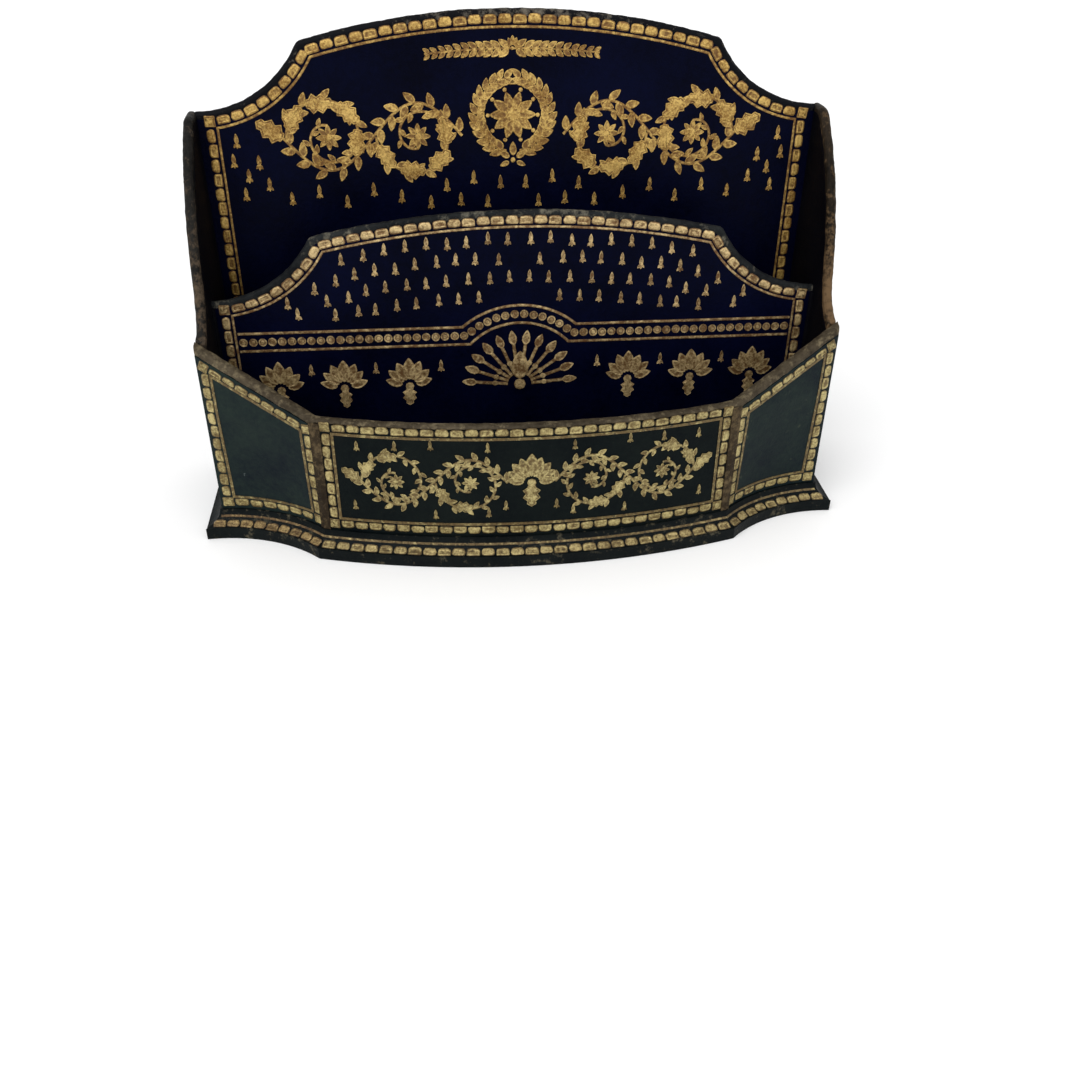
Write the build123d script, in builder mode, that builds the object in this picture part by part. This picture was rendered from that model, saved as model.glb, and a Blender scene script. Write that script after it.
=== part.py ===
from build123d import *
from math import hypot
import os

os.makedirs("parts", exist_ok=True)

# Desk letter stand: boards covered in leather, an arched back, a lower arched
# divider, and a serpentine case in front on a flared plinth. Millimetres, +Z up,
# origin under the middle of the bounding box, the front faces -Y.

# Overall
case_width = 300.0  # across the side boards, outside
depth = 115.0  # from the foot of the bowed front to the rear face
height = 227.0  # to the top of the arched back

# Every board is a core between two leathers
core = 3.0
skin = 1.0
wall = core + 2 * skin
roll_height = 3.2  # rolled leather edge on top of a board
roll_bevel = 1.5

# Plinth
baize = 1.0
plinth_height = 13.0
flare = 7.5
foot_height = 6.0
plinth_lip = 1.0

# Arched back: a level corner, a scoop, a shoulder and the arch
shoulder_x = 0.64 * case_width / 2
corner_drop = 42.5
shoulder_drop = 13.0
shoulder_round = 1.25 * roll_height

# Divider: the same crest, lower and a little flatter
divider_gap = 32.0  # clear width of the rear compartment
divider_core = 2.4
divider_skin = 0.8
divider_height = 148.0
divider_shoulder_drop = 10.6

# Side boards: level at the back, a round nose, then a long sweep down to the wing's rail
side_level = 4.0
side_nose = Vector(6.4, 2.3)
side_waist = (0.743, 0.766)  # share of the way from the nose to the rail, forward and down

# Case: bowed middle, straight-topped wings that turn hollow towards the plinth
bend_x = 0.653 * case_width / 2
bow = 14.0
wing_setback = 0.432 * (case_width / 2 - bend_x)  # from the bend back to the outer corner
wing_hollow = 0.106 * (case_width / 2 - bend_x)
rail_top = 72.0
wing_rise = 27.0
rail_height = 4.0  # on the wings
front_rail_height = 2.0
rail_proud = 0.3
rail_round = 1.7

# Small leather pieces
strip_width = 2.6  # each way from the bend
strip = 0.5
joint = 1.4
lining = 0.8

half = case_width / 2
inner = half - wall
rear_y = depth / 2
back_y = rear_y - wall
divider_rear_y = back_y - divider_gap
divider_wall = divider_core + 2 * divider_skin
divider_y = divider_rear_y - divider_wall
front_y = flare - depth / 2
corner_z = height - corner_drop

# Plan points of the case face; the left side mirrors the right
front = Vector(0, front_y)
bend = Vector(bend_x, front_y + bow)
corner = Vector(half, bend.Y + wing_setback)
bow_radius = (bend_x**2 + bow**2) / (2 * bow)
bow_axis = Vector(0, front_y + bow_radius)

# Along the wing and out of it
wing_along = (corner - bend).normalized()
wing_out = Vector(wing_along.Y, -wing_along.X)
wing_length = (corner - bend).length
wing_middle = (bend + corner) * 0.5
hollow_radius = (wing_length**2 / 4 + wing_hollow**2) / (2 * wing_hollow)
hollow_axis = wing_middle + wing_out * (hollow_radius - wing_hollow)

# Mitres: the walls meet on one line at the bend, the plinth on two of its own
bow_out = (bend - bow_axis).normalized()
wall_mitre = (bow_out + wing_out).normalized()
plinth_mitre = (bow_out + (hollow_axis - bend).normalized()).normalized()
corner_mitre = (Vector(1, 0) + (hollow_axis - corner).normalized()).normalized()
inner_corner = Vector(inner, corner.Y - wall * wing_along.Y / wing_along.X + wall / wing_along.X)

# The rail runs level over the bow and climbs the wings
rail_foot = rail_top - rail_height
climb = wing_rise / wing_length
wing_rail_drop = rail_height * hypot(1, climb)
wing_plane = Plane(origin=(bend.X, bend.Y, 0), x_dir=wing_along, z_dir=wing_out)


def flip(point):
    """The same plan point on the left."""
    return Vector(-point.X, point.Y)


def case_plan(level, hollow, inset, bends=Kind.INTERSECTION):
    """Plan of the whole case at one level, its wings hollowed, drawn in by inset."""
    touch = wing_middle - wing_out * hollow
    with BuildSketch(Plane.XY.offset(level)) as plan:
        with BuildLine():
            ThreePointArc(flip(bend), front, bend)
            if hollow:
                ThreePointArc(bend, touch, corner)
                ThreePointArc(flip(corner), flip(touch), flip(bend))
            else:
                Line(bend, corner)
                Line(flip(corner), flip(bend))
            Polyline(corner, (half, rear_y), (-half, rear_y), flip(corner))
        make_face()
        if inset:
            offset(amount=-inset, kind=bends)
    return plan.sketch


def case_block(inset, bends=Kind.INTERSECTION):
    """Solid of the case, hollow at the plinth and straight from the rail's foot up."""
    with BuildPart() as block:
        add(case_plan(plinth_height, wing_hollow, inset, bends))
        add(case_plan(rail_foot - 1, 0, inset, bends))
        loft(ruled=True)
        extrude(case_plan(rail_foot - 1, 0, inset, bends), amount=wing_rise + rail_height + 2)
    return block.part


def zone(points, top):
    """Upright prism over a polygon in plan."""
    with BuildPart() as prism:
        with BuildSketch(Plane.XY.offset(-1)):
            with BuildLine():
                Polyline(*points, close=True)
            make_face()
        extrude(amount=top + 1)
    return prism.part


# Where one piece of the case ends and the next begins
front_zone_points = [
    bend + wall_mitre * 30,
    bend - wall_mitre * 40,
    flip(bend - wall_mitre * 40),
    flip(bend + wall_mitre * 30),
]
wing_zone = zone(
    [
        bend + wall_mitre * 30,
        bend - wall_mitre * 14,
        wing_middle - wing_out * 20,
        inner_corner,
        inner_corner + wing_along * 2 * wall,
        inner_corner + wing_along * 2 * wall + wing_out * 40,
    ],
    height,
)
front_plinth_zone = zone(
    [
        bend + plinth_mitre * 30,
        bend - plinth_mitre * 6,
        flip(bend - plinth_mitre * 6),
        flip(bend + plinth_mitre * 30),
    ],
    plinth_height + 1,
)
wing_plinth_zone = zone(
    [
        bend + plinth_mitre * 30,
        bend - plinth_mitre * 6,
        wing_middle - wing_out * 14,
        corner - corner_mitre * 2,
        corner + corner_mitre * 40,
    ],
    plinth_height + 1,
)


def crest(y, apex, drop, lowered):
    """Face of a crested board at one depth, its top edge lowered by a rolled edge."""
    shoulder = apex - drop
    level = shoulder - (corner_drop - shoulder_drop)
    with BuildSketch(Plane.XZ.offset(-y)) as face:
        with BuildLine():
            Polyline(
                (-inner, level), (-half - wall, level), (-half - wall, -wall),
                (half + wall, -wall), (half + wall, level), (inner, level),
            )
            scoop = TangentArc((inner, level), (shoulder_x, shoulder), tangent=(-1, 0))
            ThreePointArc(scoop @ 1, (0, apex), (-shoulder_x, shoulder))
            TangentArc((-inner, level), (-shoulder_x, shoulder), tangent=(1, 0))
        make_face()
        if lowered:
            offset(amount=-lowered, kind=Kind.INTERSECTION)
        with Locations((0, plinth_height + height / 2)):
            Rectangle(2 * inner, height, mode=Mode.INTERSECT)
        for x in (-shoulder_x, shoulder_x):
            fillet(face.vertices().sort_by_distance((x, shoulder))[0], shoulder_round - lowered)
    return face.sketch


def outer_edges(piece, outline, across):
    """Edges of a plate that run along its outline, short ends left out."""
    line = outline.wire()
    way = across.direction

    def along(edge):
        spot = edge @ 0.5
        run = edge % 0.5
        flat = spot - way * (spot - line.center()).dot(way)
        short_end = abs(run.Z) > 0.99 and edge.length < 1.01 * roll_height
        return abs(run.dot(way)) < 0.5 and not short_end and line.distance_to(flat) < 0.01

    return piece.edges().filter_by(along)


def crest_sheet(y, thickness, apex, drop):
    """One layer of a crested board, up to the foot of its rolled edge."""
    with BuildPart() as sheet:
        extrude(crest(y, apex, drop, roll_height), amount=thickness)
    return sheet.part


def crest_roll(y, thickness, apex, drop, bevel):
    """Rolled leather edge along the crest of a board."""
    with BuildPart() as roll:
        extrude(crest(y, apex, drop, 0), amount=thickness)
        extrude(crest(y, apex, drop, roll_height), amount=thickness, mode=Mode.SUBTRACT)
        chamfer(outer_edges(roll, crest(y, apex, drop, 0), Axis.Y), bevel)
    return roll.part


# The case at the faces of its three layers, and a strip's thickness outside, round at the bends
case_leather = case_block(0)
case_core = case_block(skin)
case_lining = case_block(skin + core)
case_inside = case_block(wall)
case_strip = case_block(-strip, Kind.ARC)


def climb_band(low, high, out, thickness):
    """Band along the right wing between two heights at the bend, climbing with the rail."""
    run_out = 4 * wall
    rise = run_out * climb
    with BuildPart() as band:
        with BuildSketch(wing_plane.offset(out)):
            with BuildLine():
                Polyline(
                    (-run_out, low - rise), (wing_length + run_out, low + wing_rise + rise),
                    (wing_length + run_out, high + wing_rise + rise), (-run_out, high - rise),
                    close=True,
                )
            make_face()
        extrude(amount=-thickness)
    return band.part


def case_layer(outer, inside, space):
    """One layer of the case wall, within the space of one piece."""
    with BuildPart() as sheet:
        add(outer)
        add(inside, mode=Mode.SUBTRACT)
        add(space, mode=Mode.INTERSECT)
    return sheet.part


# Under the rail: level over the bow, along the climb in the wing
front_space = zone(front_zone_points, rail_top - front_rail_height)
with BuildPart() as wing_space:
    add(wing_zone)
    add(climb_band(rail_top - wing_rail_drop, 2 * height, depth, 2 * depth), mode=Mode.SUBTRACT)


def side_face(lowered):
    """Outline of a side board: its front edge falls from the back's corner to the wing."""
    reach = 4 * wall
    tip = Vector(corner.Y + wall, rail_top + wing_rise)
    with BuildSketch(Plane.YZ) as face:
        with BuildLine():
            rear_top = (rear_y + reach, corner_z)
            level = Line(rear_top, (back_y - side_level, corner_z))
            nose = TangentArc(level @ 1, (level @ 1) - side_nose, tangent=level % 1)
            fall = tip - nose @ 1
            waist = (nose @ 1) + Vector(side_waist[0] * fall.X, side_waist[1] * fall.Y)
            belly = TangentArc(nose @ 1, waist, tangent=nose % 1)
            flick = TangentArc(waist, tip, tangent=belly % 1)
            Polyline(tip, (tip.X - reach, tip.Y - reach / 2), (tip.X - reach, 0), (rear_y + reach, 0), rear_top)
        make_face()
        if lowered:
            offset(amount=-lowered, kind=Kind.INTERSECTION)
        with Locations((rear_y - case_width / 2, plinth_height + height / 2)):
            Rectangle(case_width, height, mode=Mode.INTERSECT)
    return face.sketch


def side_sheet(x, thickness):
    """One layer of the right side board, behind the wing."""
    with BuildPart() as sheet:
        extrude(side_face(roll_height).moved(Location((x, 0, 0))), amount=thickness)
        add(wing_zone, mode=Mode.SUBTRACT)
    return sheet.part


def plinth_section():
    """Foot, hollow and lip of the plinth moulding: out, up."""
    with BuildSketch(Plane.XZ) as section:
        with BuildLine():
            Polyline((plinth_lip, plinth_height), (0, plinth_height), (0, 0), (flare, 0), (flare, foot_height))
            TangentArc((plinth_lip, plinth_height), (flare, foot_height), tangent=(0, -1))
        make_face()
    return section.sketch


def turned_plinth(axis, radius):
    """Ring of the moulding about an upright axis; a negative radius flares inward."""
    with BuildPart() as ring:
        revolve(plinth_section().moved(Location((radius, 0, 0))), axis=Axis.Z)
    return ring.part.moved(Location((axis.X, axis.Y, 0)))


def finish(builder, name):
    """Name a piece and write it."""
    builder.part.label = name
    export_step(builder.part, "parts/" + name + ".step")


def finish_pair(builder, name):
    """Write a right-hand piece and its mirror image."""
    finish(builder, name + "_right")
    with BuildPart() as other:
        mirror(builder.part, about=Plane.YZ)
    finish(other, name + "_left")


# Base board, the whole plan of the case, standing on its baize
with BuildPart() as base_board:
    extrude(case_plan(baize, wing_hollow, 0), amount=plinth_height - baize)
    with BuildSketch(Plane.XY):
        with Locations((0, rear_y)):
            Rectangle(2 * case_width, 2 * skin)
    extrude(amount=plinth_height, mode=Mode.SUBTRACT)
finish(base_board, "base_board")

with BuildPart() as base_baize:
    extrude(case_plan(0, wing_hollow, wall), amount=baize)
finish(base_baize, "base_baize")

# Leather floors of the two compartments, either side of the divider
with BuildPart() as rear_floor:
    with BuildSketch(Plane.XY.offset(plinth_height)):
        with Locations((0, (divider_rear_y + back_y) / 2)):
            Rectangle(2 * inner, divider_gap)
    extrude(amount=lining)
finish(rear_floor, "floor_leather_rear")

with BuildPart() as front_floor:
    extrude(case_plan(plinth_height, wing_hollow, wall), amount=lining)
    with BuildSketch(Plane.XY):
        with Locations((0, divider_y + depth / 2)):
            Rectangle(case_width, depth)
    extrude(amount=height, mode=Mode.SUBTRACT)
finish(front_floor, "floor_leather_front")

# Back: core, the tooled panel in front, the cover behind with the base's rear edge
with BuildPart() as back_board:
    add(crest_sheet(rear_y - skin, core, height, shoulder_drop))
finish(back_board, "back_board")

with BuildPart() as back_panel:
    add(crest_sheet(back_y + skin, skin, height, shoulder_drop))
finish(back_panel, "back_panel_leather")

with BuildPart() as back_cover:
    add(crest_sheet(rear_y, skin, height, shoulder_drop))
    with BuildSketch(Plane.XZ.offset(-rear_y)):
        with Locations((0, (plinth_height + baize) / 2)):
            Rectangle(case_width, plinth_height - baize)
    extrude(amount=skin)
finish(back_cover, "back_cover_leather")

with BuildPart() as back_roll:
    add(crest_roll(rear_y, wall, height, shoulder_drop, roll_bevel))
finish(back_roll, "back_crest_roll")

# Divider: the same three layers and rolled crest, lower and thinner
with BuildPart() as divider_board:
    add(crest_sheet(divider_rear_y - divider_skin, divider_core, divider_height, divider_shoulder_drop))
finish(divider_board, "divider_board")

with BuildPart() as divider_panel:
    add(crest_sheet(divider_y + divider_skin, divider_skin, divider_height, divider_shoulder_drop))
finish(divider_panel, "divider_panel_leather")

with BuildPart() as divider_cover:
    add(crest_sheet(divider_rear_y, divider_skin, divider_height, divider_shoulder_drop))
finish(divider_cover, "divider_rear_leather")

with BuildPart() as divider_roll:
    add(crest_roll(divider_rear_y, divider_wall, divider_height, divider_shoulder_drop,
                   roll_bevel * divider_wall / wall))
finish(divider_roll, "divider_crest_roll")

# Leather folded into the corner where the divider meets each side
joint_top = divider_height - divider_shoulder_drop - (corner_drop - shoulder_drop) - roll_height
with BuildPart() as divider_joint:
    with BuildSketch(Plane.XY.offset(plinth_height + lining)):
        with BuildLine():
            Polyline((inner - joint, divider_y), (inner, divider_y), (inner, divider_y - joint))
            RadiusArc((inner, divider_y - joint), (inner - joint, divider_y), joint)
        make_face()
    extrude(amount=joint_top - plinth_height - lining)
finish_pair(divider_joint, "divider_joint")

# Sides: lining, board and cover, and the rolled front edge that sweeps to the wing
with BuildPart() as side_lining:
    add(side_sheet(inner, skin))
finish_pair(side_lining, "side_lining")

with BuildPart() as side_board:
    add(side_sheet(inner + skin, core))
finish_pair(side_board, "side_board")

with BuildPart() as side_cover:
    add(side_sheet(inner + skin + core, skin))
finish_pair(side_cover, "side_cover_leather")

with BuildPart() as side_roll:
    extrude(side_face(0).moved(Location((inner, 0, 0))), amount=wall)
    extrude(side_face(roll_height).moved(Location((inner, 0, 0))), amount=wall, mode=Mode.SUBTRACT)
    edge_line = outer_edges(side_roll, side_face(0), Axis.X)
    chamfer(edge_line.filter_by(lambda e: (e @ 0.5).Z > rail_top + wing_rise), roll_bevel)
    add(wing_zone, mode=Mode.SUBTRACT)
finish_pair(side_roll, "side_edge_roll")

# Bowed front
with BuildPart() as front_board:
    add(case_layer(case_core, case_lining, front_space))
finish(front_board, "front_board")

with BuildPart() as front_leather:
    add(case_layer(case_leather, case_core, front_space))
finish(front_leather, "front_leather")

with BuildPart() as front_lining:
    add(case_layer(case_lining, case_inside, front_space))
finish(front_lining, "front_lining")

# Wings
with BuildPart() as wing_board:
    add(case_layer(case_core, case_lining, wing_space.part))
finish_pair(wing_board, "wing_board")

with BuildPart() as wing_leather:
    add(case_layer(case_leather, case_core, wing_space.part))
finish_pair(wing_leather, "wing_leather")

with BuildPart() as wing_lining:
    add(case_layer(case_lining, case_inside, wing_space.part))
finish_pair(wing_lining, "wing_lining")

# Rails: the rolled leather lip along the case, level over the bow, climbing the wings
front_rail_foot = rail_top - front_rail_height
with BuildPart() as front_rail:
    extrude(case_plan(front_rail_foot, 0, -rail_proud), amount=front_rail_height)
    extrude(case_plan(front_rail_foot, 0, wall + rail_proud), amount=front_rail_height, mode=Mode.SUBTRACT)
    add(zone(front_zone_points, rail_top), mode=Mode.INTERSECT)
    long_edges = front_rail.edges().filter_by(GeomType.CIRCLE)
    fillet(long_edges.group_by(Axis.Z)[-1], rail_round)
finish(front_rail, "front_rail")

with BuildPart() as wing_rail:
    add(climb_band(rail_top - wing_rail_drop, rail_top, rail_proud, wall + 2 * rail_proud))
    long_edges = wing_rail.edges().filter_by(lambda e: e.length > wing_length)
    fillet(long_edges.sort_by(Axis.Z)[-2:], rail_round)
    add(wing_zone, mode=Mode.INTERSECT)
    with BuildSketch(Plane.XY):
        Rectangle(case_width + 2 * rail_proud, 2 * depth)
    extrude(amount=height, mode=Mode.INTERSECT)
finish_pair(wing_rail, "wing_rail")

# Leather strip over the sharp bend between the front and each wing
across = wall_mitre.cross(Vector(0, 0, 1)) * strip_width
bend_zone = zone(
    [
        bend + wall_mitre * wall + across,
        bend + wall_mitre * wall - across,
        bend - wall_mitre * wall - across,
        bend - wall_mitre * wall + across,
    ],
    front_rail_foot,
)
with BuildPart() as corner_strip:
    add(case_layer(case_strip, case_leather, bend_zone))
    add(wing_rail.part, mode=Mode.SUBTRACT)
finish_pair(corner_strip, "corner_strip")

# Plinth mouldings, mitred at the bends and the outer corners
with BuildPart() as front_plinth:
    add(turned_plinth(bow_axis, bow_radius))
    add(front_plinth_zone, mode=Mode.INTERSECT)
finish(front_plinth, "plinth_front")

with BuildPart() as wing_plinth:
    add(turned_plinth(hollow_axis, -hollow_radius))
    add(wing_plinth_zone, mode=Mode.INTERSECT)
finish_pair(wing_plinth, "plinth_wing")

with BuildPart() as side_plinth:
    extrude(plinth_section().moved(Location((half, rear_y, 0))), amount=rear_y - corner.Y + 2 * flare)
    add(wing_plinth_zone, mode=Mode.SUBTRACT)
finish_pair(side_plinth, "plinth_side")
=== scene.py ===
import math
import random

import bmesh
import bpy
from mathutils import Matrix, Vector
from mathutils.bvhtree import BVHTree


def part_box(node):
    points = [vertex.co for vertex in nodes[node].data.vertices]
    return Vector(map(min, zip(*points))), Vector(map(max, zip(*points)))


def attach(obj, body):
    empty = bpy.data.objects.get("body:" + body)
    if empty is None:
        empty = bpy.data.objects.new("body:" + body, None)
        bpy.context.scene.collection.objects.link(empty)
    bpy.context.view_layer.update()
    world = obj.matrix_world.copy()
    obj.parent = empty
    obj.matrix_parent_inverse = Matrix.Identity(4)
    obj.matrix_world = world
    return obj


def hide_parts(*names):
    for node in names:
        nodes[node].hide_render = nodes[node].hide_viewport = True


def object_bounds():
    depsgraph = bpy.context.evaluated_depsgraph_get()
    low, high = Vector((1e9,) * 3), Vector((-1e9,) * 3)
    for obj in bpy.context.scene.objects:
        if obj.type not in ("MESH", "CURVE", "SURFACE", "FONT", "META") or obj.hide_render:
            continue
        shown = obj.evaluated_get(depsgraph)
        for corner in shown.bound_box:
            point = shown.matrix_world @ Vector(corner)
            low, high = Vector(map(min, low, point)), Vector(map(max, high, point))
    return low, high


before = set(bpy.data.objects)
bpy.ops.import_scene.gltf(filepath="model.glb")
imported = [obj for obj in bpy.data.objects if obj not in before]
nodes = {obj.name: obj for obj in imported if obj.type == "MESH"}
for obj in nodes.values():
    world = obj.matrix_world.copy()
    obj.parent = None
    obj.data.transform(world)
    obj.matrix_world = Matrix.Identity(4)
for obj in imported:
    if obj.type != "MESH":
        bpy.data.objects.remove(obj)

cad_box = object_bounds()

# Boards and baize
# The body is thin hardwood board, glued edge to edge and hidden under leather.
# Green baize is pasted under the base, a little inside its edge.


def put(tree, kind, inputs=None, **settings):
    """Add a node, with values or links for its inputs."""
    node = tree.nodes.new(kind)
    for name, value in settings.items():
        setattr(node, name, value)
    for name, value in (inputs or {}).items():
        if isinstance(value, bpy.types.NodeSocket):
            tree.links.new(value, node.inputs[name])
        else:
            node.inputs[name].default_value = value
    return node


def colour(red, green, blue):
    """A colour as a paint chart gives it, 0 to 255, as the shader wants it."""
    chart = [part / 255 for part in (red, green, blue)]
    return [part / 12.92 if part < 0.04045 else ((part + 0.055) / 1.055) ** 2.4 for part in chart] + [1]


def new_group(name, inputs, outputs):
    """An empty shader node group with named sockets: (tree, its inputs, its outputs)."""
    tree = bpy.data.node_groups.new(name, "ShaderNodeTree")
    kinds = {list: "NodeSocketColor", tuple: "NodeSocketVector", float: "NodeSocketFloat"}
    for label, value in inputs.items():
        socket = tree.interface.new_socket(label, in_out="INPUT", socket_type=kinds[type(value)])
        socket.default_value = value
    for label in outputs:
        kind = "NodeSocketColor" if label == "Color" else "NodeSocketFloat"
        tree.interface.new_socket(label, in_out="OUTPUT", socket_type=kind)
    return tree, tree.nodes.new("NodeGroupInput").outputs, tree.nodes.new("NodeGroupOutput").inputs


def finish_of(name, group, values, bump=0.0, reach=0.001, **shader):
    """A material: a group's colour, roughness and relief in a Principled BSDF, with constants of its own."""
    material = bpy.data.materials.new(name)
    material.use_nodes = True
    tree = material.node_tree
    made = put(tree, "ShaderNodeGroup", node_tree=group)
    for label, value in values.items():
        made.inputs[label].default_value = value
    bsdf = tree.nodes["Principled BSDF"]
    for label in ("Color", "Roughness", "Metallic"):
        if label in made.outputs:
            tree.links.new(made.outputs[label], bsdf.inputs["Base Color" if label == "Color" else label])
    if bump:
        relief = put(tree, "ShaderNodeBump",
                     {"Strength": bump, "Distance": reach, "Height": made.outputs["Height"]})
        tree.links.new(relief.outputs["Normal"], bsdf.inputs["Normal"])
    for label, value in shader.items():
        bsdf.inputs[label.replace("_", " ")].default_value = value
    return material


def noise(tree, where, scale, detail=4.0, roughness=0.55):
    """Noise between 0 and 1, its size set per metre."""
    return put(tree, "ShaderNodeTexNoise", {"Vector": where, "Scale": scale, "Detail": detail,
                                            "Roughness": roughness}).outputs["Fac"]


def spread(tree, value, low, high, to_low=0.0, to_high=1.0):
    """The range low to high of a value, stretched and cut off."""
    return put(tree, "ShaderNodeMapRange", {"Value": value, "From Min": low, "From Max": high,
                                            "To Min": to_low, "To Max": to_high}).outputs["Result"]


def blended(tree, share, one, other):
    """One colour shading into another."""
    mix = put(tree, "ShaderNodeMix", data_type="RGBA")
    for socket, value in zip((mix.inputs[0], mix.inputs[6], mix.inputs[7]), (share, one, other)):
        if isinstance(value, bpy.types.NodeSocket):
            tree.links.new(value, socket)
        else:
            socket.default_value = value
    return mix.outputs[2]


def sums(tree, how, one, other):
    """Two values added, multiplied and so on."""
    step = put(tree, "ShaderNodeMath", operation=how)
    for socket, value in zip(step.inputs, (one, other)):
        if isinstance(value, bpy.types.NodeSocket):
            tree.links.new(value, socket)
        else:
            socket.default_value = value
    return step.outputs[0]


def weighed(tree, one, share, other):
    """A mean of two values, the first with its share."""
    return sums(tree, "ADD", sums(tree, "MULTIPLY", one, share), sums(tree, "MULTIPLY", other, 1 - share))


# Board: long streaks of grain along the width
board_group, given, made = new_group(
    "board_grain", {"Pale": colour(150, 112, 74), "Dark": colour(96, 66, 40)},
    ("Color", "Roughness", "Height"))
where = put(board_group, "ShaderNodeTexCoord").outputs["Object"]
along = put(board_group, "ShaderNodeMapping", {"Vector": where, "Scale": (12, 160, 160)}).outputs["Vector"]
streak = noise(board_group, along, 2.0, 6.0)
board_group.links.new(blended(board_group, streak, given["Dark"], given["Pale"]), made["Color"])
board_group.links.new(spread(board_group, streak, 0, 1, 0.7, 0.5), made["Roughness"])
board_group.links.new(streak, made["Height"])
board_finish = finish_of("board", board_group, {}, 0.3, 0.0002)

# Baize: a felted nap with tiny pale and dark fibres
felt_group, given, made = new_group(
    "felt_nap", {"Pale": colour(54, 84, 58), "Dark": colour(26, 48, 34)}, ("Color", "Roughness", "Height"))
where = put(felt_group, "ShaderNodeTexCoord").outputs["Object"]
nap = noise(felt_group, where, 2400.0, 3.0, 0.7)
tone = weighed(felt_group, nap, 0.7, noise(felt_group, where, 45.0, 3.0))
felt_group.links.new(blended(felt_group, spread(felt_group, tone, 0.3, 0.7), given["Dark"], given["Pale"]),
                     made["Color"])
felt_group.links.new(spread(felt_group, nap, 0, 1, 0.85, 1.0), made["Roughness"])
felt_group.links.new(nap, made["Height"])
baize_finish = finish_of("baize", felt_group, {}, 0.6, 0.0003, Sheen_Weight=0.3, Specular_IOR_Level=0.1)


def dress(finish, *names):
    """Give CAD pieces a finish."""
    for name in names:
        piece = nodes[name]
        if not piece.material_slots:
            piece.data.materials.append(finish)
        for place in piece.material_slots:
            place.material = finish


sides = ("right", "left")
dress(board_finish, "back_board", "divider_board", "front_board")
for side in sides:
    dress(board_finish, "side_board_" + side, "wing_board_" + side)
dress(baize_finish, "base_baize")

# Leather
# Thin goatskin pared and pasted over the boards: navy inside on the back and the
# divider, blue-green outside, plain and darker in the compartments. Its edges are rubbed.

leather_group, given, made = new_group(
    "leather_grain",
    {"Deep": colour(1, 2, 15), "Soft": colour(3, 6, 30), "Rubbed": colour(46, 46, 52), "Rub": 0.0,
     "Grain": 1500.0, "Dull": 0.45, "Spot": (0.0, 0.0, 0.0), "Reach": 0.001, "Bare": 0.0},
    ("Color", "Roughness", "Height"))
where = put(leather_group, "ShaderNodeTexCoord").outputs["Object"]
cloud = noise(leather_group, where, 34.0, 5.0, 0.6)
mottle = noise(leather_group, where, 360.0, 5.0, 0.7)
tone = weighed(leather_group, cloud, 0.6, mottle)
skin = blended(leather_group, spread(leather_group, tone, 0.36, 0.64), given["Deep"], given["Soft"])
# Scuffs, thick on a worn edge and thickest round one named spot
scuffs = noise(leather_group, where, 260.0, 8.0, 0.72)
folded = put(leather_group, "ShaderNodeVectorMath", {0: where}, operation="ABSOLUTE").outputs[0]
away = put(leather_group, "ShaderNodeVectorMath", {0: folded, 1: given["Spot"]},
           operation="DISTANCE").outputs["Value"]
near = put(leather_group, "ShaderNodeMapRange",
           {"Value": away, "From Min": given["Reach"], "From Max": 0.0},
           interpolation_type="SMOOTHSTEP").outputs["Result"]
rubbing = sums(leather_group, "ADD", scuffs, sums(leather_group, "MULTIPLY", cloud, 0.35))
rubbing = sums(leather_group, "ADD", rubbing, sums(leather_group, "MULTIPLY", near, given["Bare"]))
edge = sums(leather_group, "SUBTRACT", 0.98, sums(leather_group, "MULTIPLY", given["Rub"], 0.6))
worn = spread(leather_group, sums(leather_group, "SUBTRACT", rubbing, edge), -0.02, 0.14)
leather_group.links.new(blended(leather_group, worn, skin, given["Rubbed"]), made["Color"])
pebble = put(leather_group, "ShaderNodeTexVoronoi", {"Vector": where, "Scale": given["Grain"]},
             feature="SMOOTH_F1").outputs["Distance"]
creases = noise(leather_group, where, 90.0, 6.0, 0.7)
grain = sums(leather_group, "ADD", weighed(leather_group, pebble, 0.6, mottle),
             sums(leather_group, "MULTIPLY", creases, 1.6))
leather_group.links.new(sums(leather_group, "SUBTRACT", grain, sums(leather_group, "MULTIPLY", worn, 0.4)),
                        made["Height"])
dulled = sums(leather_group, "ADD", spread(leather_group, tone, 0.3, 0.7, -0.06, 0.08),
              sums(leather_group, "MULTIPLY", worn, 0.18))
leather_group.links.new(sums(leather_group, "ADD", given["Dull"], dulled), made["Roughness"])

navy_leather = finish_of("navy_leather", leather_group, {"Rub": 0.1, "Dull": 0.40}, 0.5, 0.0003,
                         Specular_IOR_Level=0.03)
green_tones = {"Deep": colour(8, 18, 25), "Soft": colour(29, 40, 36), "Rubbed": colour(72, 76, 62),
               "Rub": 0.26, "Dull": 0.48}
case_leather = finish_of("case_leather", leather_group, green_tones, 0.5, 0.0003, Specular_IOR_Level=0.07)
lining_tones = {"Deep": colour(3, 3, 8), "Soft": colour(10, 10, 14), "Rubbed": colour(42, 38, 36),
                "Rub": 0.12, "Dull": 0.55}
lining_leather = finish_of("lining_leather", leather_group, lining_tones, 0.4, 0.0003,
                           Specular_IOR_Level=0.03)
# The front's blue-green leather, painted darker than the walls' as painted shade
front_shaded_tones = {"Deep": colour(3, 8, 11), "Soft": colour(14, 20, 19), "Rubbed": colour(46, 46, 36),
               "Rub": 0.2, "Dull": 0.48}
front_leather = finish_of("front_leather", leather_group, front_shaded_tones, 0.5, 0.0003, Specular_IOR_Level=0.05)
dress(navy_leather, "back_panel_leather", "divider_panel_leather")
dress(case_leather, "back_cover_leather", "base_board")
dress(front_leather, "front_leather")
dress(lining_leather, "divider_rear_leather", "floor_leather_rear", "floor_leather_front", "front_lining")
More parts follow.
